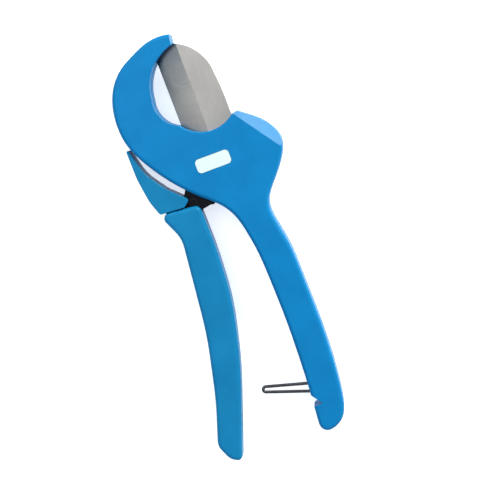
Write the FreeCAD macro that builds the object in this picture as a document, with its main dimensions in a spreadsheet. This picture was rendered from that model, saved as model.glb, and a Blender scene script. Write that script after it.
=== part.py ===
"""Ratcheting plastic-pipe cutter, modelled lying on its back.

Frame: millimetres, +Z up out of the front cheek, +Y from the handles towards the jaw. The origin is where the
blade pivot's axis meets the flat back of the rear shell, so the tool rests on the plane z = 0.
Two cast shells carry a hooked jaw and the fixed handle. The blade and a pair of steel lever plates share one
pivot bolt. The plates carry the moving handle and a drive pawl that pushes the blade's ratchet teeth.
"""
import FreeCAD, Part
import math
import os
import Sketcher
from FreeCAD import Vector

SIZES = {
    # overall
    "shell_depth": 11.0,        # each cast shell, from the parting plane to its face
    "handle_reach": 173.4,      # pivot to the end of the fixed handle
    "grip_reach": 178.0,        # pivot to the end of the moving grip
    "jaw_bore": 25.0,           # radius of the hook's inner curve
    "jaw_ahead": 46.5,          # pivot to the hook's centre, along the tool
    "jaw_aside": 5.0,           # pivot to the hook's centre, across the tool
    "hook_tip_wall": 8.4,
    "hook_mid_wall": 16.0,
    "hook_root_wall": 25.6,
    "edge_round": 2.2,          # outer edges of the castings
    "mouth_round": 0.8,         # edges round the mouth
    # blade
    "blade_thick": 3.0,
    "blade_reach": 73.0,        # pivot to the blade's point
    "edge_offset": 6.2,         # cutting edge to pivot
    "edge_lean": 5.4,           # cutting edge from the tool's axis, degrees
    "bevel_width": 14.4,
    "edge_land": 0.3,           # thickness left at the cutting edge
    "blade_close": 15.0,        # travel from rest to closed, degrees
    "blade_open": 45.0,         # travel from rest to open, degrees
    "tooth_pitch": 7.5,         # degrees
    "tooth_depth": 2.2,
    "sector_radius": 19.0,
    "bush_radius": 7.0,
    # lever
    "plate_thick": 2.5,
    "plate_eye": 12.5,
    "squeeze": 15.0,            # handle travel, degrees
    "casting_depth": 18.0,      # moving handle, front to back
    "pawl_pin_radius": 2.0,
    "rivet_radius": 2.0,
    # pivot
    "pivot_radius": 5.0,
    "thread_radius": 4.0,
    "head_radius": 8.0,
    "head_thick": 3.0,
    "washer_thick": 0.6,
    # fits
    "side_gap": 0.2,            # between faces that slide
    "run_gap": 0.04,            # radial, pins in bores
    "swing_gap": 0.8,           # round the blade in its slot
    # fasteners and small parts
    "screw_radius": 2.0,
    "screw_head": 3.6,
    "dowel_radius": 1.5,
    "label_long": 21.4,
    "label_high": 8.8,
    "label_turn": 5.0,          # degrees
    "label_deep": 0.8,
    "bail_wire": 1.9,
    "bail_pin": 1.6,            # radius
    "bail_reach": 31.0,
    "spring_wire": 1.2,
}
P = type("Sizes", (), SIZES)

doc = FreeCAD.newDocument("pipe_cutter")
sheet = doc.addObject("Spreadsheet::Sheet", "Sizes")
for row, (alias, value) in enumerate(SIZES.items(), start=1):
    sheet.set(f"A{row}", alias)
    sheet.set(f"B{row}", str(value))
    sheet.setAlias(f"B{row}", alias)
doc.recompute()

NODES = {}

# ---------------------------------------------------------------- plane geometry


def turn(point, degrees):
    """A plane point turned about the blade pivot."""
    a = math.radians(degrees)
    x, y = point
    return (x * math.cos(a) - y * math.sin(a), x * math.sin(a) + y * math.cos(a))


def polar(radius, degrees, centre=(0.0, 0.0)):
    a = math.radians(degrees)
    return (centre[0] + radius * math.cos(a), centre[1] + radius * math.sin(a))


def line(a, b):
    return Part.LineSegment(Vector(*a, 0), Vector(*b, 0))


def arc(a, middle, b):
    return Part.Arc(Vector(*a, 0), Vector(*middle, 0), Vector(*b, 0))


def ring(centre, radius):
    return Part.Circle(Vector(*centre, 0), Vector(0, 0, 1), radius)


def closed(points):
    """Straight edges through the points and back to the first."""
    return [line(a, b) for a, b in zip(points, points[1:] + points[:1])]


def path(start, *steps):
    """Edges from a start point: a step of one point is a line, a step of two points is an arc (middle, end)."""
    here, edges = start, []
    for step in steps:
        if isinstance(step[0], tuple):
            edges.append(arc(here, step[0], step[1]))
            here = step[1]
        else:
            edges.append(line(here, step))
            here = step
    return edges


def spline_loop(points, pieces=8):
    """One smooth closed curve through the points, in several edges."""
    curve = Part.BSplineCurve()
    curve.interpolate(Points=[Vector(*p, 0) for p in points], PeriodicFlag=True)
    knots = curve.getKnots()
    marks = [knots[round(k * (len(knots) - 1) / pieces)] for k in range(pieces + 1)]
    edges = []
    for start, end in zip(marks, marks[1:]):
        piece = curve.copy()
        piece.segment(start, end)
        edges.append(piece)
    return edges


def rounded(corners):
    """A closed polygon of (x, y, corner radius), each corner an arc tangent to its two sides."""
    count = len(corners)
    starts, ends, mids = [], [], []
    for k in range(count):
        x, y, r = corners[k]
        here = Vector(x, y, 0)
        before = (Vector(*corners[k - 1][:2], 0) - here).normalize()
        after = (Vector(*corners[(k + 1) % count][:2], 0) - here).normalize()
        half = before.getAngle(after) / 2
        inset = r / math.tan(half)
        middle = (before + after).normalize()
        centre = here + middle * (r / math.sin(half))
        starts.append(here + before * inset)
        ends.append(here + after * inset)
        mids.append(centre - middle * r)
    edges = []
    for k in range(count):
        edges.append(Part.Arc(starts[k], mids[k], ends[k]))
        edges.append(Part.LineSegment(ends[k], starts[(k + 1) % count]))
    return edges


def belt(a, radius_a, b, radius_b):
    """Two circles joined by their outer tangents."""
    along = math.degrees(math.atan2(b[1] - a[1], b[0] - a[0]))
    lean = math.degrees(math.acos((radius_a - radius_b) / math.hypot(b[0] - a[0], b[1] - a[1])))
    a_left, a_right = polar(radius_a, along + lean, a), polar(radius_a, along - lean, a)
    b_left, b_right = polar(radius_b, along + lean, b), polar(radius_b, along - lean, b)
    return path(
        a_left,
        (polar(radius_a, along + 180, a), a_right),
        b_right,
        (polar(radius_b, along, b), b_left),
        a_left,
    )


def hexagon(centre, across_flats):
    return closed([polar(across_flats / math.sqrt(3), 30 + 60 * k, centre) for k in range(6)])


# ---------------------------------------------------------------- feature helpers


def origin_plane(body):
    return next(f for f in body.Origin.OriginFeatures if f.Role == "XY_Plane")


def sketch_at(body, name, edges, height):
    """A sketch of the edges on the body's XY plane, lifted by the expression height."""
    sketch = body.newObject("Sketcher::SketchObject", name)
    sketch.AttachmentSupport = (origin_plane(body), [""])
    sketch.MapMode = "FlatFace"
    sketch.setExpression("AttachmentOffset.Base.z", height)
    sketch.addGeometry(edges, False)
    return sketch


def new_body(label):
    body = doc.addObject("PartDesign::Body", label)
    body.Label = label
    return body


def pad(body, name, edges, low, high):
    """Material between the heights low and high, which are expressions."""
    sketch = sketch_at(body, name + "_sketch", edges, low)
    feature = body.newObject("PartDesign::Pad", name)
    feature.Profile = sketch
    feature.setExpression("Length", f"({high}) - ({low})")
    doc.recompute()
    return feature


def pocket(body, name, edges, low, high):
    """Removes what lies between the heights low and high; stops if it removes nothing."""
    before = body.Shape.Volume
    sketch = sketch_at(body, name + "_sketch", edges, high)
    feature = body.newObject("PartDesign::Pocket", name)
    feature.Profile = sketch
    feature.setExpression("Length", f"({high}) - ({low})")
    doc.recompute()
    if not feature.Shape.isValid() or body.Shape.Volume > before - 0.01:
        raise RuntimeError(f"{body.Label}: pocket {name} cut nothing")
    return feature


def round_edges(body, name, chosen, radius):
    """Fillets the edges that chosen(edge) accepts, at the radius that the expression gives."""
    base = body.Tip
    names = [f"Edge{i}" for i, edge in enumerate(base.Shape.Edges, start=1) if chosen(edge)]
    feature = body.newObject("PartDesign::Fillet", name)
    feature.Base = (base, names)
    feature.setExpression("Radius", radius)
    doc.recompute()
    return feature


def wedge_pocket(body, name, anchor, heading, points, length):
    """Cuts along the heading (degrees in the plane) from the anchor; points are (to the heading's right, up)."""
    before = body.Shape.Volume
    side, up = Vector(*polar(1.0, heading - 90), 0), Vector(0, 0, 1)
    sketch = body.newObject("Sketcher::SketchObject", name + "_sketch")
    sketch.AttachmentSupport = (origin_plane(body), [""])
    sketch.MapMode = "FlatFace"
    turned = FreeCAD.Rotation(side, up, side.cross(up), "XYZ")
    sketch.AttachmentOffset = FreeCAD.Placement(Vector(*anchor), turned)
    sketch.addGeometry([edge for loop in points for edge in closed(loop)], False)
    feature = body.newObject("PartDesign::Pocket", name)
    feature.Profile = sketch
    feature.Length = length
    doc.recompute()
    if body.Shape.Volume > before - 0.01:
        raise RuntimeError(f"{body.Label}: wedge {name} cut nothing")
    return feature


def at_height(edge, height):
    return all(abs(v.Z - height) < 1e-4 for v in edge.Vertexes) and abs(edge.CenterOfMass.z - height) < 1e-4


def node(name, obj):
    obj.Label = name
    NODES[name] = obj
    return obj


# ---------------------------------------------------------------- heights, as expressions of the sheet

MID = "Sizes.shell_depth"
FRONT = "2 * Sizes.shell_depth"
HALF_BLADE = "Sizes.blade_thick / 2"
SLOT_HALF = "(Sizes.blade_thick / 2 + Sizes.side_gap)"
PLATE_IN = "(Sizes.blade_thick / 2 + Sizes.side_gap)"
PLATE_OUT = "(Sizes.blade_thick / 2 + Sizes.side_gap + Sizes.plate_thick)"
POCKET_HALF = "(Sizes.blade_thick / 2 + 2 * Sizes.side_gap + Sizes.plate_thick + Sizes.washer_thick)"

BAIL_HALF = "(Sizes.bail_wire / 2 + 3 * Sizes.side_gap)"

mid = P.shell_depth
slot_half = P.blade_thick / 2 + P.side_gap
plate_out = slot_half + P.plate_thick
pocket_half = plate_out + P.side_gap + P.washer_thick

# ---------------------------------------------------------------- outlines shared by several pieces

JAW = (P.jaw_aside, P.jaw_ahead)


def hook_wall(degrees, wall):
    """A point outside the jaw's bore, by the hook's wall thickness there."""
    return polar(P.jaw_bore + wall, degrees, JAW)


TIP_IN = polar(P.jaw_bore + 1.4, 102.5, JAW)
MOUTH_FOOT = (-8.6, JAW[1] - P.jaw_bore + 3.4)
SCOOP_END = (22.9, 23.4)


def handle_point(x, share):
    """A point on the fixed handle: share runs from 0 at its root to 1 at its end."""
    root = -60.0
    return (x, root - share * (P.handle_reach + root))


def casting_outline():
    """Outer wall of the jaw, the pivot housing and the fixed handle, before the mouth and the notch are cut."""
    wall = P.hook_tip_wall
    outer = [
        hook_wall(62.0, wall - 4.0),
        hook_wall(86.0, wall - 3.0),
        hook_wall(104.0, wall),
        hook_wall(122.0, wall + 3.0),
        hook_wall(138.0, P.hook_mid_wall - 2.0),
        hook_wall(152.0, P.hook_mid_wall + 2.0),
        hook_wall(170.0, P.hook_root_wall - 3.2),
        hook_wall(190.0, P.hook_root_wall),
        (-41.6, 20.5),
        (-34.4, 8.3),
        (-25.2, -3.2),
        (-16.4, -12.0),
        (-7.4, -19.4),
        (2.1, -26.6),
        (8.6, -35.0),
        (12.6, -45.5),
        (16.0, -59.2),
        handle_point(18.7, 0.16),
        handle_point(21.2, 0.36),
        handle_point(23.0, 0.60),
        handle_point(23.8, 0.82),
        handle_point(23.8, 0.94),
        handle_point(24.6, 0.98),
        handle_point(27.4, 1.0),
        handle_point(33.0, 0.994),
        handle_point(39.0, 0.95),
        handle_point(42.0, 0.84),
        handle_point(42.4, 0.62),
        handle_point(40.6, 0.38),
        handle_point(38.0, 0.16),
        (35.2, -58.0),
        (31.4, -44.0),
        (30.2, -33.0),
        (37.0, -20.6),
        (44.2, -9.4),
        (47.3, 1.8),
        (42.0, 12.6),
        (31.6, 21.1),
        (24.6, 26.2),
        (27.0, 48.0),
    ]
    return spline_loop(outer)


def mouth_outline():
    """The hook's bore, its blunt tip and the scoop in front of the blade, open to the right."""
    return path(
        TIP_IN,
        (polar(P.jaw_bore, 145, JAW), polar(P.jaw_bore + 0.6, 186, JAW)),
        (polar(P.jaw_bore + 2.2, 215, JAW), MOUTH_FOOT),
        ((6.8, 17.3), SCOOP_END),
        (70.0, 40.0),
        (70.0, 100.0),
        (-1.0, 100.0),
        (-4.6, 82.5),
        (-0.4, 78.6),
        TIP_IN,
    )


def notch_outline():
    """The slanted catch below the wire bail."""
    return closed([
        handle_point(24.0, 0.80),
        handle_point(29.4, 0.852),
        handle_point(20.0, 0.868),
        handle_point(20.0, 0.80),
    ])


# The blade at rest. u runs across the blade from its cutting edge, w along the edge from the pivot's level.
def on_blade(u, w):
    return turn((u - P.edge_offset, w), P.edge_lean)


def blade_nose():
    return on_blade(0.0, 69.4)


def blade_point():
    return polar(P.blade_reach, 90.0)


def blade_outline():
    """Edge, nose, curved spine and the toothed sector about the pivot."""
    spine_foot = (21.9, 27.0)
    hub = P.sector_radius - P.tooth_depth
    edges = path(
        on_blade(0.0, 14.0),
        blade_nose(),
        (on_blade(6.0, 72.3), blade_point()),
        ((11.9, 65.4), (18.9, 49.6)),
        ((20.8, 38.6), spine_foot),
        ((22.4, 14.0), polar(P.sector_radius, -8.0)),
    )
    first, last = -TOOTH_COUNT * P.tooth_pitch + TOOTH_START, TOOTH_START
    rim = [polar(P.sector_radius, angle) for angle in (-8.0, 0.5 * (last - 8.0), last)]
    edges += path(rim[0], (rim[1], rim[2]))
    for k in range(TOOTH_COUNT):
        tip = TOOTH_START - k * P.tooth_pitch
        edges.append(line(polar(P.sector_radius, tip), polar(hub, tip)))
        edges.append(line(polar(hub, tip), polar(P.sector_radius, tip - P.tooth_pitch)))
    edges += path(
        polar(P.sector_radius, first),
        (polar(P.sector_radius, 0.5 * (first - 200.0)), polar(P.sector_radius, -200.0)),
        on_blade(0.0, 14.0),
    )
    return edges


# The pawl meets the teeth low on the sector; its tip drives the tooth faces anticlockwise.
PAWL_TIP_ANGLE = -89.0
PAWL_PIVOT = polar(P.sector_radius + 6.0, PAWL_TIP_ANGLE - 34.0)
TOOTH_COUNT = 12
TOOTH_START = PAWL_TIP_ANGLE + 9 * P.tooth_pitch + 1.0


def blade_slot_outline():
    """The space that the blade sweeps between the cheeks, from closed to fully open."""
    gap = P.swing_gap
    outside = 90.0
    round_hub = P.sector_radius + gap
    rim = P.blade_reach + gap
    edge_foot = math.sqrt(round_hub ** 2 - (P.edge_offset + gap) ** 2)
    a = turn(on_blade(-gap, edge_foot), P.blade_close)
    b = turn(on_blade(-gap, 69.4), P.blade_close)
    c = turn(on_blade(1.0, 71.5), P.blade_close)
    over_nose = turn(on_blade(7.0, 73.5), P.blade_close)
    d = polar(rim, 90.0 + P.blade_close)
    e = polar(rim, 88.0)
    spine_top = turn((20.6 + gap, 41.5), -P.blade_open)
    spine = turn((22.6 + gap, 27.0), -P.blade_open)
    spine_foot = turn((22.4 + gap, 14.0), -P.blade_open)
    hub_side = turn(polar(round_hub, -8.0), -P.blade_open)
    return path(
        a,
        b,
        c,
        (over_nose, d),
        (polar(rim, 95.0), e),
        (outside, e[1]),
        (outside, spine[1] + 22.0),
        spine_top,
        (spine, spine_foot),
        hub_side,
        (polar(round_hub, 235.0), a),
    )


def lever_plate_outline():
    """A lever plate at rest: an eye on the pivot, a wing inside the fin and a tail inside the grip."""
    return path(
        polar(P.plate_eye, -30.0),
        (polar(P.plate_eye, 80.0), polar(P.plate_eye, 190.0)),
        (-16.6, -13.4),
        (-18.6, -17.4),
        (-26.4, -11.2),
        (-33.4, -7.4),
        (-35.6, -13.5),
        (-33.0, -22.0),
        (-27.6, -25.5),
        (-22.6, -37.0),
        (-22.9, -62.0),
        tail_point(-23.6),
        (tail_point(-18.5, 6.5), tail_point(-13.4)),
        (-10.6, -62.0),
        (-10.8, -40.0),
        (-12.6, -27.5),
        (-4.6, -25.4),
        (0.6, -22.6),
        polar(P.plate_eye, -30.0),
    )


def tail_point(x, beyond=0.0):
    return (x, -0.55 * P.grip_reach - beyond)


def lever_pocket_outline():
    """The wider space that the lever plates sweep, open through the lower left of the housing."""
    eye = P.plate_eye + P.swing_gap
    heel = turn((0.9, -23.5), P.squeeze)
    return path(
        polar(eye, -30.0 + P.squeeze),
        (polar(eye, 85.0), polar(eye, 186.0)),
        (-19.0, -11.4),
        (-60.0, -20.0),
        (-60.0, -60.0),
        (-6.0, -60.0),
        (2.7, -27.4),
        (heel[0] + 0.6, heel[1] - 0.2),
        polar(eye, -30.0 + P.squeeze),
    )


def plate_cavity_outline():
    """Room for the plates inside the grip."""
    return path(
        (-37.0, -15.0),
        (-34.0, -22.4),
        (-28.2, -26.3),
        (-23.4, -37.0),
        (-23.6, -62.0),
        tail_point(-24.3, 0.5),
        (tail_point(-18.5, 7.6), tail_point(-12.7, 0.5)),
        (-9.9, -62.0),
        (-10.1, -40.0),
        (-11.9, -28.2),
        (-2.0, -26.0),
        (0.0, -15.0),
        (-37.0, -15.0),
    )


# ---------------------------------------------------------------- the two cast shells

SCREWS = [(-35.5, 42.0), (-30.0, 14.5), (30.5, -12.0), (25.2, -45.0), (29.5, -97.0), (34.0, -158.0)]
DOWELS = [(-37.0, 57.5), (33.0, -134.0)]
BAIL_PIVOT = handle_point(29.0, 0.777)
BAIL_END = (BAIL_PIVOT[0] - P.bail_reach, BAIL_PIVOT[1] + 6.6)


def scoop_edge(edge):
    """The rim of the scoop in front of the blade."""
    c = edge.CenterOfMass
    return 15.0 < c.y < 24.5 and -8.0 < c.x < 22.0


def bail_slot_outline():
    """Room in the fixed handle for the bail's eye and the swing of its legs."""
    c, eye = BAIL_PIVOT, P.bail_wire + 3.6
    return path(
        polar(eye, 90.0, c),
        (14.0, c[1] + 9.6),
        (14.0, c[1] - 19.0),
        polar(eye, 290.0, c),
        (polar(eye, 10.0, c), polar(eye, 90.0, c)),
    )


def shell(label, low, high, face, parting, slot, lever, bail):
    """One casting; parting, slot, lever and bail are the height ranges of its inner pockets."""
    body = new_body(label)
    parting_low, parting_high = parting
    slot_low, slot_high = slot
    lever_low, lever_high = lever
    bail_low, bail_high = bail
    pad(body, label + "_casting", casting_outline(), low, high)
    round_edges(body, label + "_outer_rounds", lambda e: at_height(e, face), "Sizes.edge_round")
    pocket(body, label + "_mouth", mouth_outline(), low, high)
    pocket(body, label + "_notch", notch_outline(), low, high)
    round_edges(body, label + "_scoop_round", lambda e: at_height(e, face) and scoop_edge(e), "Sizes.mouth_round")
    pocket(body, label + "_blade_slot", blade_slot_outline(), slot_low, slot_high)
    pocket(body, label + "_lever_pocket", lever_pocket_outline(), lever_low, lever_high)
    pocket(body, label + "_dowel_holes", [ring(p, P.dowel_radius) for p in DOWELS], parting_low, parting_high)
    pocket(body, label + "_bail_slot", bail_slot_outline(), bail_low, bail_high)
    pocket(body, label + "_bail_bore", [ring(BAIL_PIVOT, P.bail_pin)], parting_low, parting_high)
    return body


def front_shell():
    body = shell(
        "front_shell", MID, FRONT, 2 * mid,
        parting=(MID, f"{MID} + 5"),
        slot=(MID, f"{MID} + {SLOT_HALF}"),
        lever=(MID, f"{MID} + {POCKET_HALF}"),
        bail=(MID, f"{MID} + {BAIL_HALF}"),
    )
    pocket(body, "front_thread", [ring((0, 0), P.thread_radius)], MID, f"{FRONT} - 2")
    pocket(body, "front_shoulder", [ring((0, 0), P.pivot_radius + P.run_gap)], MID, f"{MID} + {POCKET_HALF} + 0.5")
    spring_ring = [ring((0, 0), 13.2), ring((0, 0), 8.9)]
    pocket(body, "front_spring_ring", spring_ring, MID, f"{MID} + {POCKET_HALF} + 2.9")
    pocket(body, "front_screw_holes", [ring(p, P.screw_radius) for p in SCREWS], MID, f"{MID} + 7")
    pocket(body, "front_label_seat", label_outline(0.0), f"{FRONT} - Sizes.label_deep", FRONT)
    facet = [(0.0, 0.0), (0.0, 4.0), (22.0, 4.0), (22.0, -14.0)]
    low_end = polar(40.0, FACET_RUN + 180.0, FACET_TOP)
    wedge_pocket(body, "front_facet", (low_end[0], low_end[1], 2 * mid), FACET_RUN, [facet], 80.0)
    return node("front_shell", body)


LABEL = (5.0, -0.6)
FACET_TOP = (34.4, 11.0)
FACET_RUN = 130.5


def label_outline(inset, corner=2.6):
    """The label's rounded rectangle, smaller all round by the inset."""
    x, y, r = P.label_long / 2 - inset, P.label_high / 2 - inset, corner - inset
    edges = rounded([(x, y, r), (-x, y, r), (-x, -y, r), (x, -y, r)])
    shift = FreeCAD.Placement(Vector(*LABEL, 0), FreeCAD.Rotation(Vector(0, 0, 1), P.label_turn)).toMatrix()
    for edge in edges:
        edge.transform(shift)
    return edges


def rear_shell():
    body = shell(
        "rear_shell", "0", MID, 0.0,
        parting=(f"{MID} - 5", MID),
        slot=(f"{MID} - {SLOT_HALF}", MID),
        lever=(f"{MID} - {POCKET_HALF}", MID),
        bail=(f"{MID} - {BAIL_HALF}", MID),
    )
    pocket(body, "rear_pivot_bore", [ring((0, 0), P.pivot_radius + P.run_gap)], "0", MID)
    pocket(body, "rear_head_seat", [ring((0, 0), P.head_radius + 0.3)], "0", "Sizes.head_thick + 1.0")
    pocket(body, "rear_screw_holes", [ring(p, P.screw_radius + 0.2) for p in SCREWS], "0", MID)
    pocket(body, "rear_screw_seats", [ring(p, P.screw_head + 0.2) for p in SCREWS], "0", "4.2")
    return node("rear_shell", body)


front_shell()
rear_shell()

# ---------------------------------------------------------------- blade


def blade():
    body = new_body("blade")
    pad(body, "blade_plate", blade_outline(), f"{MID} - {HALF_BLADE}", f"{MID} + {HALF_BLADE}")
    half, land = P.blade_thick / 2, P.edge_land / 2
    past_edge = land - 8.0 * (half - land) / P.bevel_width
    bevel_front = [(P.bevel_width, half), (-8.0, past_edge), (-8.0, 4.0), (P.bevel_width, 4.0)]
    bevel_rear = [(x, -z) for x, z in bevel_front]
    foot = on_blade(0.0, 17.0)
    heading = 90.0 + P.edge_lean
    wedge_pocket(body, "blade_bevel", (foot[0], foot[1], mid), heading, [bevel_front, bevel_rear], 80.0)
    pocket(body, "blade_bore", [ring((0, 0), P.bush_radius)], f"{MID} - {HALF_BLADE}", f"{MID} + {HALF_BLADE}")
    return node("blade", body)


def blade_bush():
    body = new_body("blade_bush")
    rings = [ring((0, 0), P.bush_radius - 0.02), ring((0, 0), P.pivot_radius + P.run_gap)]
    pad(body, "bush_ring", rings, f"{MID} - {HALF_BLADE}", f"{MID} + {HALF_BLADE}")
    return node("blade_bush", body)


# ---------------------------------------------------------------- lever plates, fin, grip and pawl

RIVETS = [(-31.0, -12.6), (-30.4, -19.8)]
GRIP_SCREW = (-16.6, -0.5 * P.grip_reach)
FIN_LOW = f"({MID} - Sizes.casting_depth / 2)"
FIN_HIGH = f"({MID} + Sizes.casting_depth / 2)"


def lever_plate(label, low, high):
    body = new_body(label)
    pad(body, label + "_sheet", lever_plate_outline(), low, high)
    holes = [ring((0, 0), P.pivot_radius + P.run_gap), ring(PAWL_PIVOT, P.pawl_pin_radius + 0.02)]
    holes += [ring(p, P.rivet_radius + 0.02) for p in RIVETS + [GRIP_SCREW]]
    pocket(body, label + "_holes", holes, low, high)
    return node(label, body)


def fin_outline():
    return rounded([
        (-44.3, 24.6, 0.8),
        (-41.9, 1.0, 40.0),
        (-38.4, -14.0, 30.0),
        (-34.2, -23.0, 1.6),
        (-19.2, -22.6, 1.6),
        (-15.0, -18.6, 1.6),
        (-26.6, -9.2, 20.0),
        (-36.6, 2.6, 30.0),
    ])


def handle_casting():
    """The triangular fin that backs the jaw, slotted over the lever plates."""
    body = new_body("handle_casting")
    pad(body, "fin_block", fin_outline(), FIN_LOW, FIN_HIGH)
    faces = (mid - P.casting_depth / 2, mid + P.casting_depth / 2)
    round_edges(body, "fin_rounds", lambda e: any(at_height(e, z) for z in faces), "0.25 * Sizes.edge_round")
    upper = [(-5.0, -5.0), (-18.2, -16.4), (-26.5, -10.4), (-33.8, -6.5)]
    lower = [(-36.3, -13.5), (-33.6, -26.0), (-5.0, -26.0)]
    slot = closed(upper + lower)
    pocket(body, "fin_slot", slot, f"{MID} - {PLATE_OUT} - 0.1", f"{MID} + {PLATE_OUT} + 0.1")
    pocket(body, "fin_rivet_holes", [ring(p, P.rivet_radius + 0.02) for p in RIVETS], FIN_LOW, f"{FIN_HIGH} - 2.6")
    return node("handle_casting", body)


def grip_outline():
    end = P.grip_reach
    return rounded([
        (-35.4, -23.0, 3.6),
        (-10.2, -23.4, 3.6),
        (-7.4, -50.0, 280.0),
        (-6.4, -0.47 * end, 170.0),
        (-12.0, -0.685 * end, 280.0),
        (-26.6, -1.005 * end, 2.8),
        (-33.5, -0.988 * end, 9.0),
        (-38.7, -0.935 * end, 9.0),
        (-32.4, -0.785 * end, 220.0),
        (-26.9, -0.56 * end, 220.0),
        (-25.8, -40.0, 20.0),
    ])


def handle_grip():
    body = new_body("handle_grip")
    pad(body, "grip_block", grip_outline(), FIN_LOW, FIN_HIGH)
    faces = (mid - P.casting_depth / 2, mid + P.casting_depth / 2)
    round_edges(body, "grip_rounds", lambda e: any(at_height(e, z) for z in faces), "Sizes.edge_round")
    cavity = (f"{MID} - {PLATE_OUT} - 0.1", f"{MID} + {PLATE_OUT} + 0.1")
    pocket(body, "grip_cavity", plate_cavity_outline(), *cavity)
    end = P.grip_reach
    catch = closed([(-60.0, -0.736 * end), (0.0, -0.736 * end), (0.0, -0.935 * end), (-60.0, -0.935 * end)])
    pocket(body, "grip_catch", catch, f"{MID} - {BAIL_HALF}", f"{MID} + {BAIL_HALF}")
    pocket(body, "grip_screw_hole", [ring(GRIP_SCREW, P.rivet_radius + 0.02)], FIN_LOW, f"{FIN_HIGH} - 2.6")
    pocket(body, "grip_screw_seat", [ring(GRIP_SCREW, P.screw_head + 0.1)], FIN_LOW, f"{FIN_LOW} + 2.4")
    return node("handle_grip", body)


def pins(label, places, radius, low, high):
    """One node of several like pins."""
    body = new_body(label)
    body.AllowCompound = True
    pad(body, label + "_shanks", [ring(p, radius) for p in places], low, high)
    return body


def pawl_outline():
    """Boss, beak and back of the pawl, drawn engaged."""
    nose = polar(P.sector_radius - P.tooth_depth + 0.95, PAWL_TIP_ANGLE - 1.0)
    belly = polar(P.sector_radius + 1.0, PAWL_TIP_ANGLE - 9.0)
    boss = 4.0
    along = PAWL_TIP_ANGLE + 119.0
    return path(
        nose,
        belly,
        polar(boss, along + 70.0, PAWL_PIVOT),
        (polar(boss, along + 165.0, PAWL_PIVOT), polar(boss, along + 262.0, PAWL_PIVOT)),
        polar(P.sector_radius + 4.4, PAWL_TIP_ANGLE - 4.0),
        polar(P.sector_radius + 1.6, PAWL_TIP_ANGLE - 0.6),
        nose,
    )


PAWL_LIFT = 10.0


def about(point, edges, degrees):
    """The edges turned about a plane point."""
    turn_about = FreeCAD.Rotation(Vector(0, 0, 1), degrees)
    matrix = FreeCAD.Placement(Vector(), turn_about, Vector(*point, 0)).toMatrix()
    turned = [edge.copy() for edge in edges]
    for edge in turned:
        edge.transform(matrix)
    return turned


def drive_pawl():
    """The pawl at rest, lifted clear of the teeth."""
    body = new_body("drive_pawl")
    low, high = f"{MID} - {HALF_BLADE}", f"{MID} + {HALF_BLADE}"
    pad(body, "pawl_plate", about(PAWL_PIVOT, pawl_outline(), -PAWL_LIFT), low, high)
    pocket(body, "pawl_bore", [ring(PAWL_PIVOT, P.pawl_pin_radius + P.run_gap)], low, high)
    return node("drive_pawl", body)


def plate_spacers():
    body = new_body("plate_spacers")
    body.AllowCompound = True
    rings = [ring(p, r) for p in RIVETS + [GRIP_SCREW] for r in (3.4, P.rivet_radius + 0.02)]
    pad(body, "spacer_rings", rings, f"{MID} - {SLOT_HALF} + 0.02", f"{MID} + {SLOT_HALF} - 0.02")
    return node("plate_spacers", body)


def pawl_leaf():
    """A leaf between the lower spacer in the fin and the pawl's back."""
    body = new_body("pawl_leaf")
    outer = arc((-27.0, -20.6), (-22.6, -22.2), (-18.4, -21.4))
    inner = arc((-18.4, -20.8), (-22.6, -21.6), (-26.9, -20.0))
    edges = [outer, line((-18.4, -21.4), (-18.4, -20.8)), inner, line((-26.9, -20.0), (-27.0, -20.6))]
    pad(body, "leaf", edges, f"{MID} - {SLOT_HALF} + 0.3", f"{MID} + {SLOT_HALF} - 0.3")
    return node("pawl_leaf", body)


def grip_screw():
    body = new_body("grip_screw")
    pad(body, "grip_screw_shank", [ring(GRIP_SCREW, P.rivet_radius)], f"{FIN_LOW} + 2.3", f"{FIN_HIGH} - 2.8")
    pad(body, "grip_screw_head", [ring(GRIP_SCREW, P.screw_head)], f"{FIN_LOW} + 0.3", f"{FIN_LOW} + 2.3")
    pocket(body, "grip_screw_socket", hexagon(GRIP_SCREW, 2.5), f"{FIN_LOW} + 0.3", f"{FIN_LOW} + 1.6")
    return node("grip_screw", body)


# ---------------------------------------------------------------- pivot and fasteners

SEAT = "(Sizes.head_thick + 1.0)"


def pivot_bolt():
    """Shoulder bolt from the rear; its thread ends blind in the front shell."""
    body = new_body("pivot_bolt")
    pad(body, "bolt_head", [ring((0, 0), P.head_radius)], "0.4", "Sizes.head_thick + 0.4")
    shoulder_end = f"{MID} + {POCKET_HALF} + 0.3"
    pad(body, "bolt_shoulder", [ring((0, 0), P.pivot_radius)], "Sizes.head_thick + 0.4", shoulder_end)
    pad(body, "bolt_thread", [ring((0, 0), P.thread_radius - P.run_gap)], shoulder_end, f"{FRONT} - 2.3")
    pocket(body, "bolt_socket", hexagon((0, 0), 6.0), "0.4", "2.6")
    return node("pivot_bolt", body)


def flat_ring(label, inner, outer, low, high):
    body = new_body(label)
    pad(body, label + "_ring", [ring((0, 0), outer), ring((0, 0), inner)], low, high)
    return body


def thrust_washers():
    body = new_body("thrust_washers")
    body.AllowCompound = True
    rings = [ring((0, 0), 8.6), ring((0, 0), P.pivot_radius + 0.1)]
    inner, outer = f"({PLATE_OUT} + 0.08)", f"({PLATE_OUT} + 0.08 + Sizes.washer_thick)"
    pad(body, "front_washer", rings, f"{MID} + {inner}", f"{MID} + {outer}")
    pad(body, "rear_washer", rings, f"{MID} - {outer}", f"{MID} - {inner}")
    return node("thrust_washers", body)


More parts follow.
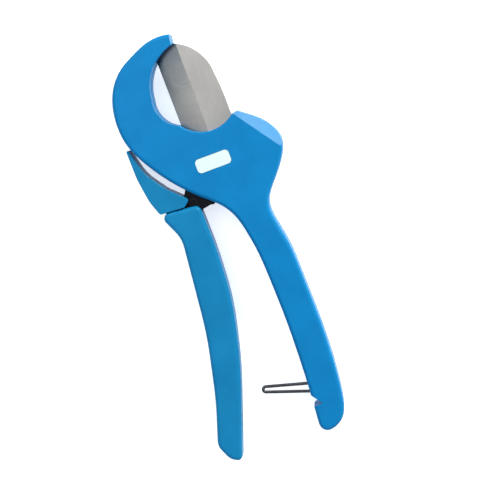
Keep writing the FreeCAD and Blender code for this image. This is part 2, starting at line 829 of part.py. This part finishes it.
def handle_spring():
    """Torsion spring coiled round the bolt in its annular seat."""
    wire, turns = P.spring_wire, 1.3
    pitch = wire + 0.06
    helix = Part.makeHelix(pitch, pitch * turns, 11.05)
    profile = Part.Wire([Part.makeCircle(wire / 2, Vector(11.05, 0, 0), Vector(0, 1, 0))])
    coil = Part.Wire(helix.Edges).makePipeShell([profile], True, True)
    seat = doc.addObject("Part::Feature", "handle_spring")
    seat.Shape = coil
    seat.Placement.Base = Vector(0, 0, mid + pocket_half + 2.9 - wire / 2 - pitch * turns - 0.05)
    return node("handle_spring", seat)


def shell_screws():
    body = pins("shell_screws", SCREWS, P.screw_radius - 0.02, "4.0", f"{MID} + 6.6")
    pad(body, "screw_heads", [ring(p, P.screw_head) for p in SCREWS], "0.8", "4.0")
    sockets = [edge for p in SCREWS for edge in hexagon(p, 2.5)]
    pocket(body, "screw_sockets", sockets, "0.8", "2.4")
    return node("shell_screws", body)


def label_plate():
    body = new_body("label_plate")
    pad(body, "label_sheet", label_outline(0.15), f"{FRONT} - Sizes.label_deep + 0.02", f"{FRONT} - 0.2")
    return node("label_plate", body)


def wire_bail():
    """A wire loop that hinges in the fixed handle and reaches for the moving one."""
    body = new_body("wire_bail")
    wire = P.bail_wire
    eye = P.bail_pin + P.run_gap
    loop = belt(BAIL_PIVOT, eye + wire, BAIL_END, 0.7 + wire) + belt(BAIL_PIVOT, eye, BAIL_END, 0.7)
    pad(body, "bail_loop", loop, f"{MID} - Sizes.bail_wire / 2", f"{MID} + Sizes.bail_wire / 2")
    faces = (mid - wire / 2, mid + wire / 2)
    round_edges(body, "bail_rounds", lambda e: any(at_height(e, z) for z in faces), "0.42 * Sizes.bail_wire")
    return node("wire_bail", body)


blade()
blade_bush()
lever_plate("lever_plate_front", f"{MID} + {PLATE_IN}", f"{MID} + {PLATE_OUT}")
lever_plate("lever_plate_rear", f"{MID} - {PLATE_OUT}", f"{MID} - {PLATE_IN}")
handle_casting()
handle_grip()
node("handle_rivets", pins("handle_rivets", RIVETS, P.rivet_radius, f"{FIN_LOW} + 0.3", f"{FIN_HIGH} - 2.8"))
PIN_ENDS = (f"{MID} - {PLATE_OUT}", f"{MID} + {PLATE_OUT}")
node("pawl_pin", pins("pawl_pin", [PAWL_PIVOT], P.pawl_pin_radius, *PIN_ENDS))
plate_spacers()
pawl_leaf()
grip_screw()
drive_pawl()
pivot_bolt()
thrust_washers()
node("wave_washer", flat_ring("wave_washer", P.pivot_radius + 0.2, 7.8, f"{SEAT} - 0.55", f"{SEAT} - 0.05"))
handle_spring()
shell_screws()
node("dowel_pins", pins("dowel_pins", DOWELS, P.dowel_radius - 0.02, f"{MID} - 4.8", f"{MID} + 4.8"))
node("bail_pin", pins("bail_pin", [BAIL_PIVOT], P.bail_pin - 0.02, f"{MID} - 4.8", f"{MID} + 4.8"))
label_plate()
wire_bail()

# ---------------------------------------------------------------- write the pieces


def write_nodes():
    os.makedirs("parts", exist_ok=True)
    for old in os.listdir("parts"):
        if old.endswith(".step"):
            os.remove(os.path.join("parts", old))
    doc.recompute()
    bad = [o.Name for o in doc.Objects if "Invalid" in o.State or "Error" in o.State]
    if bad:
        raise RuntimeError(f"failed features: {bad}")
    for name, obj in NODES.items():
        shape = obj.Shape
        if shape.isNull() or not shape.isValid() or not shape.Solids:
            raise RuntimeError(f"{name} is not a valid solid")
    for name, obj in NODES.items():
        obj.Shape.exportStep(os.path.join("parts", name + ".step"))
        print(f"{name}: {len(obj.Shape.Solids)} solid(s), {obj.Shape.Volume:.1f} mm3")


write_nodes()
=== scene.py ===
"""Looks for the ratcheting pipe cutter: satin blue castings, a ground steel blade and plain studio light."""
import math

import bpy
from mathutils import Matrix, Vector

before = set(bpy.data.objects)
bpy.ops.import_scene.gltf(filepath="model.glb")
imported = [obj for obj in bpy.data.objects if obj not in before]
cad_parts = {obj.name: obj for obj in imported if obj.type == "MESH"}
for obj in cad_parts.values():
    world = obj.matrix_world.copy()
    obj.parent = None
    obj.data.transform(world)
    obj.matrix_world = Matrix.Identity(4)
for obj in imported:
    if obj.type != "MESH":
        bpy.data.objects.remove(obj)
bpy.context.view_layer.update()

# ---------------------------------------------------------------- node-tree helpers

WHOLE_FINISH = 0.995         # normals agree this well where an edge shows no wear


def linear(red, green, blue):
    """A linear colour from 8-bit sRGB values."""
    def one(v):
        v /= 255.0
        return v / 12.92 if v <= 0.04045 else ((v + 0.055) / 1.055) ** 2.4
    return (one(red), one(green), one(blue), 1.0)


class Tree:
    """A material's node tree with short calls for the nodes used here."""

    def __init__(self, name):
        self.material = bpy.data.materials.new(name)
        self.material.use_nodes = True
        self.tree = self.material.node_tree
        self.shader = self.tree.nodes["Principled BSDF"]
        self.place = self.add("ShaderNodeTexCoord").outputs["Object"]

    def add(self, kind, **settings):
        node = self.tree.nodes.new(kind)
        for key, value in settings.items():
            setattr(node, key, value)
        return node

    def link(self, source, target):
        self.tree.links.new(source, target)

    def stretched(self, scale, turn=0.0):
        """Object coordinates, turned about Z and scaled per axis."""
        mapping = self.add("ShaderNodeMapping")
        mapping.inputs["Rotation"].default_value = (0.0, 0.0, turn)
        mapping.inputs["Scale"].default_value = scale
        self.link(self.place, mapping.inputs["Vector"])
        return mapping.outputs["Vector"]

    def noise(self, scale, detail=4.0, roughness=0.55, where=None):
        node = self.add("ShaderNodeTexNoise")
        node.inputs["Scale"].default_value = scale
        node.inputs["Detail"].default_value = detail
        node.inputs["Roughness"].default_value = roughness
        self.link(where or self.place, node.inputs["Vector"])
        return node.outputs["Fac"]

    def spread(self, value, low, high, to_low, to_high):
        node = self.add("ShaderNodeMapRange", clamp=True)
        for key, number in zip(("From Min", "From Max", "To Min", "To Max"), (low, high, to_low, to_high)):
            node.inputs[key].default_value = number
        self.link(value, node.inputs["Value"])
        return node.outputs["Result"]

    def varied(self, noise, to_low, to_high, low=0.3, high=0.7):
        """A noise, given as (scale, detail, roughness), spread between two values."""
        return self.spread(self.noise(*noise), low, high, to_low, to_high)

    def toward(self, direction):
        """Distance from the origin along an object-space direction, in metres."""
        node = self.add("ShaderNodeVectorMath", operation="DOT_PRODUCT")
        node.inputs[1].default_value = direction
        self.link(self.place, node.inputs[0])
        return node.outputs["Value"]

    def worn_edges(self, radius, low, patches, patch_low, patch_high, most):
        """Edge wear in patches: 0 where the finish is whole, up to most where it is rubbed."""
        rim = self.edges(radius, low, WHOLE_FINISH)
        return self.math("MULTIPLY", rim, self.varied(patches, 0.0, most, patch_low, patch_high))

    def math(self, operation, a, b):
        node = self.add("ShaderNodeMath", operation=operation)
        for socket, value in zip(node.inputs, (a, b)):
            if isinstance(value, (int, float)):
                socket.default_value = value
            else:
                self.link(value, socket)
        return node.outputs["Value"]

    def mix(self, factor, a, b):
        node = self.add("ShaderNodeMix", data_type="RGBA")
        self.link(factor, node.inputs["Factor"])
        for socket, value in zip((node.inputs[6], node.inputs[7]), (a, b)):
            if isinstance(value, tuple):
                socket.default_value = value
            else:
                self.link(value, socket)
        return node.outputs[2]

    def edges(self, radius, low, high):
        """1 on worn edges, 0 on open faces."""
        bevel = self.add("ShaderNodeBevel", samples=6)
        bevel.inputs["Radius"].default_value = radius
        geometry = self.add("ShaderNodeNewGeometry")
        dot = self.add("ShaderNodeVectorMath", operation="DOT_PRODUCT")
        self.link(bevel.outputs["Normal"], dot.inputs[0])
        self.link(geometry.outputs["Normal"], dot.inputs[1])
        return self.spread(dot.outputs["Value"], high, low, 0.0, 1.0)

    def bump(self, height, strength, distance, after=None):
        node = self.add("ShaderNodeBump")
        node.inputs["Strength"].default_value = strength
        node.inputs["Distance"].default_value = distance
        self.link(height, node.inputs["Height"])
        if after is not None:
            self.link(after, node.inputs["Normal"])
        return node.outputs["Normal"]

    def set(self, **values):
        """Shader inputs by name: a number or colour is set, anything else is linked."""
        for key, value in values.items():
            socket = self.shader.inputs[key.replace("_", " ")]
            if isinstance(value, (int, float, tuple)):
                socket.default_value = value
            else:
                self.link(value, socket)


# ---------------------------------------------------------------- materials


BLADE_LEAN = math.radians(5.4)      # cutting edge from the tool's axis
EDGE_OFFSET = 0.0062                # cutting edge to the pivot
BEVEL_WIDTH = 0.0144


def enamel(name, colour, deep, rough, chips):
    """Baked satin enamel: faint mottle, orange peel, thin wear on the edges."""
    t = Tree(name)
    base = t.mix(t.varied((55.0, 5.0, 0.6), 0.0, 1.0, 0.35, 0.68), deep, colour)
    worn = t.worn_edges(0.0006, 0.90, (420.0, 6.0, 0.7), 0.50, 0.66, chips)
    t.set(Base_Color=t.mix(worn, base, linear(70, 160, 210)), Metallic=0.0, IOR=1.48)
    smears = t.varied((24.0, 6.0, 0.62), rough - 0.05, rough + 0.07)
    grain = t.varied((900.0, 2.0, 0.5), -0.02, 0.02)
    t.set(Roughness=t.math("ADD", smears, grain))
    peel = t.bump(t.noise(650.0, 2.0, 0.5), 0.10, 0.00012)
    t.set(Normal=t.bump(t.noise(2600.0, 2.0, 0.6), 0.06, 0.00004, peel))
    t.set(Coat_Weight=0.03, Coat_Roughness=0.22, Specular_IOR_Level=0.13)
    return t.material


def moulded(name, colour, deep):
    """Fine-textured moulded grip."""
    t = Tree(name)
    base = t.mix(t.varied((38.0, 5.0, 0.6), 0.0, 1.0, 0.35, 0.68), deep, colour)
    rim = t.edges(0.0012, 0.86, 0.99)
    rubbed = t.math("MULTIPLY", rim, t.varied((160.0, 5.0, 0.65), 0.0, 0.55, 0.42, 0.7))
    t.set(Base_Color=t.mix(rubbed, base, linear(86, 152, 196)), IOR=1.47)
    t.set(Roughness=t.varied((30.0, 6.0, 0.6), 0.36, 0.48))
    leather = t.bump(t.noise(1500.0, 3.0, 0.55), 0.18, 0.0001)
    t.set(Normal=t.bump(t.noise(160.0, 2.0, 0.5), 0.05, 0.0003, leather))
    t.set(Coat_Weight=0.02, Coat_Roughness=0.3, Specular_IOR_Level=0.13)
    return t.material


def ground_blade():
    """Flats with fine lengthwise lines, and a bevel ground across the edge, with painted shade on the bevel
    and a painted reflection that darkens it to the tip.
    """
    t = Tree("blade_steel")
    across = (math.cos(BLADE_LEAN), math.sin(BLADE_LEAN), 0.0)
    along = (-math.sin(BLADE_LEAN), math.cos(BLADE_LEAN), 0.0)
    from_edge = t.math("ADD", t.toward(across), EDGE_OFFSET)
    wobble = t.varied((60.0, 3.0, 0.5), -0.00012, 0.00012)
    rim = t.math("ADD", from_edge, wobble)
    on_bevel = t.spread(rim, BEVEL_WIDTH - 0.00025, BEVEL_WIDTH + 0.0001, 1.0, 0.0)
    drift = t.varied((70.0, 3.0, 0.5), -0.003, 0.003)
    # Painted reflection masks: one growing towards the tip, one along the cutting edge near it.
    painted_reflection_to_tip = t.spread(t.math("ADD", t.toward(along), drift), 0.036, 0.066, 0.0, 1.0)
    painted_reflection_line = t.spread(t.math("ADD", from_edge, drift), 0.0012, 0.0052, 1.0, 0.0)
    lengthwise = t.noise(1.0, 6.0, 0.7, t.stretched((5200.0, 42.0, 900.0), -BLADE_LEAN))
    crosswise = t.noise(1.0, 6.0, 0.7, t.stretched((70.0, 5200.0, 900.0), -BLADE_LEAN))
    cloud = t.varied((42.0, 4.0, 0.55), 0.0, 1.0)
    flat = t.mix(cloud, linear(174, 172, 170), linear(190, 188, 186))
    # Painted shade: the bevel is painted darker than the flats, darkest at the cutting edge.
    painted_shade_across_bevel = t.spread(from_edge, 0.0, BEVEL_WIDTH, 0.0, 1.0)
    bevel = t.mix(painted_shade_across_bevel, linear(122, 126, 128), linear(160, 159, 157))
    # Painted reflection: the bevel darkens towards the tip.
    bevel = t.mix(t.math("MULTIPLY", painted_reflection_to_tip, 0.8), bevel, linear(84, 95, 104))
    # Painted reflection: a dark blue-grey line along the cutting edge, towards the tip.
    bevel = t.mix(t.math("MULTIPLY", painted_reflection_to_tip, painted_reflection_line), bevel, linear(44, 60, 76))
    bright = t.mix(on_bevel, flat, bevel)
    off_bevel = t.math("SUBTRACT", 1.0, on_bevel)
    lines = t.math("ADD", t.math("MULTIPLY", on_bevel, crosswise), t.math("MULTIPLY", off_bevel, lengthwise))
    shade = t.spread(lines, 0.3, 0.7, 0.0, 0.3)
    t.set(Base_Color=t.mix(shade, bright, linear(96, 98, 100)), Metallic=0.92)
    smoother = t.math("MULTIPLY", on_bevel, -0.05)
    t.set(Roughness=t.math("ADD", t.spread(lines, 0.3, 0.7, 0.26, 0.34), smoother))
    t.set(Normal=t.bump(lines, 0.14, 0.00003))
    return t.material


def metal(name, colour, tint, rough, grain=1400.0, metallic=1.0, gloss=0.5, edge=None):
    """Plated, blackened or drawn metal with fine grain and handling marks."""
    t = Tree(name)
    base = t.mix(t.varied((140.0, 5.0, 0.6), 0.0, 1.0, 0.32, 0.68), colour, tint)
    if edge:
        base = t.mix(t.worn_edges(0.0004, 0.9, (500.0, 5.0, 0.7), 0.4, 0.6, 0.8), base, edge)
    t.set(Base_Color=base, Metallic=metallic, Specular_IOR_Level=gloss)
    t.set(Roughness=t.varied((300.0, 5.0, 0.65), rough - 0.07, rough + 0.08))
    t.set(Normal=t.bump(t.noise(grain, 3.0, 0.6), 0.14, 0.00005))
    return t.material


def blank_label():
    """White lacquered plate with faint yellowing and scuffs."""
    t = Tree("label_white")
    cloud = t.varied((150.0, 5.0, 0.6), 0.0, 1.0, 0.35, 0.7)
    streaks = t.noise(1.0, 5.0, 0.7, t.stretched((260.0, 2400.0, 400.0), 0.35))
    scuffs = t.spread(streaks, 0.62, 0.74, 0.0, 0.35)
    lacquer = t.mix(cloud, linear(208, 230, 233), linear(200, 224, 228))
    t.set(Base_Color=t.mix(scuffs, lacquer, linear(190, 206, 214)))
    t.set(Roughness=t.spread(cloud, 0.0, 1.0, 0.26, 0.38), IOR=1.5)
    t.set(Normal=t.bump(t.noise(800.0, 3.0, 0.5), 0.08, 0.00005))
    t.set(Coat_Weight=0.3, Coat_Roughness=0.12)
    return t.material


BLUE = enamel("blue_casting", linear(2, 119, 184), linear(0, 112, 175), 0.40, 0.22)
LEVER_BLUE = enamel("blue_lever", linear(13, 119, 172), linear(8, 110, 161), 0.40, 0.3)
GRIP = moulded("grip_blue", linear(14, 121, 176), linear(8, 112, 166))
BLADE = ground_blade()
BLACK = metal("black_steel", linear(11, 14, 24), linear(7, 10, 18), 0.42, metallic=0.35, gloss=0.2,
              edge=linear(70, 72, 78))
STEEL = metal("hardware_steel", linear(196, 196, 198), linear(172, 173, 178), 0.30)
SPRING = metal("spring_steel", linear(168, 170, 174), linear(146, 148, 153), 0.28, grain=2600.0)
LATCH = metal("latch_wire", linear(92, 94, 98), linear(66, 68, 73), 0.26, grain=2600.0)
BRONZE = metal("bearing_bronze", linear(186, 146, 88), linear(160, 120, 68), 0.34)
LABEL = blank_label()

FINISHES = {
    BLUE: ["front_shell", "rear_shell"],
    LEVER_BLUE: ["handle_casting"],
    GRIP: ["handle_grip"],
    BLADE: ["blade"],
    BLACK: ["lever_plate_front", "lever_plate_rear", "plate_spacers", "drive_pawl", "pawl_pin"],
    STEEL: ["shell_screws", "dowel_pins", "pivot_bolt", "bail_pin", "handle_rivets", "grip_screw"],
    SPRING: ["wave_washer", "handle_spring", "pawl_leaf"],
    LATCH: ["wire_bail"],
    BRONZE: ["thrust_washers", "blade_bush"],
    LABEL: ["label_plate"],
}
for finish, names in FINISHES.items():
    for name in names:
        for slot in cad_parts[name].material_slots:
            slot.material = finish

# ---------------------------------------------------------------- floor, light and camera


MIDDLE = Vector((0.012, -0.057, 0.022))      # what the lights and the camera aim at
FLOOR_HALF = 3.0
FLOOR_DROP = 0.0004          # keeps the floor just clear of the tool's back


def floor():
    mesh = bpy.data.meshes.new("floor")
    signs = ((-1, -1), (1, -1), (1, 1), (-1, 1))
    corners = [(FLOOR_HALF * x, FLOOR_HALF * y, -FLOOR_DROP) for x, y in signs]
    mesh.from_pydata(corners, [], [(0, 1, 2, 3)])
    surface = bpy.data.objects.new("floor", mesh)
    bpy.context.scene.collection.objects.link(surface)
    t = Tree("pale_floor")
    t.set(Base_Color=t.mix(t.noise(6.0), (0.90, 0.90, 0.90, 1.0), (0.93, 0.93, 0.93, 1.0)), Roughness=0.85)
    t.set(Emission_Color=(0.98, 0.99, 1.0, 1.0), Emission_Strength=0.6)
    mesh.materials.append(t.material)


def area_light(name, toward, distance, size, power, colour=(1.0, 1.0, 1.0)):
    """A round soft light, aimed at the middle of the tool."""
    data = bpy.data.lights.new(name, "AREA")
    data.shape = "DISK"
    data.size = size
    data.energy = power
    data.color = colour
    lamp = bpy.data.objects.new(name, data)
    place = MIDDLE + Vector(toward).normalized() * distance
    turn = (place - MIDDLE).to_track_quat("Z", "Y").to_matrix().to_4x4()
    lamp.matrix_world = Matrix.Translation(place) @ turn
    bpy.context.scene.collection.objects.link(lamp)


floor()
area_light("key", (-0.45, 0.75, 1.35), distance=1.6, size=1.5, power=10.3)
# Low from the upper right, where the body's facet mirrors it.
area_light("facet_light", (0.69, 0.59, 0.44), distance=1.3, size=0.42, power=21.0, colour=(1.0, 0.99, 0.82))
area_light("fill", (0.6, -0.9, 1.2), distance=1.8, size=1.8, power=6.0)

world = bpy.data.worlds.new("studio")
world.use_nodes = True
world.node_tree.nodes["Background"].inputs["Color"].default_value = (0.97, 0.985, 1.0, 1.0)
world.node_tree.nodes["Background"].inputs["Strength"].default_value = 0.42
bpy.context.scene.world = world
bpy.context.scene.view_settings.view_transform = "Standard"

# The tool's axis leans left of the picture's upright, and the camera is a little above and right of square.
TILT_UP, TILT_RIGHT, ROLL = math.radians(5.0), math.radians(3.0), math.radians(15.5)
VIEW_DISTANCE, VIEW_WIDTH = 1.1, 0.2965
SENSOR = 36.0

image_up = Vector((math.sin(ROLL), math.cos(ROLL), 0.0))
image_right = Vector((math.cos(ROLL), -math.sin(ROLL), 0.0))
back = (Vector((0, 0, 1)) + image_up * math.tan(TILT_UP) + image_right * math.tan(TILT_RIGHT)).normalized()
side = image_up.cross(back).normalized()
turn = Matrix((side, back.cross(side), back)).transposed().to_4x4()

data = bpy.data.cameras.new("camera")
data.sensor_width = SENSOR
data.lens = SENSOR * VIEW_DISTANCE / VIEW_WIDTH
camera = bpy.data.objects.new("camera", data)
camera.matrix_world = Matrix.Translation(MIDDLE + back * VIEW_DISTANCE) @ turn
bpy.context.scene.collection.objects.link(camera)
bpy.context.scene.camera = camera
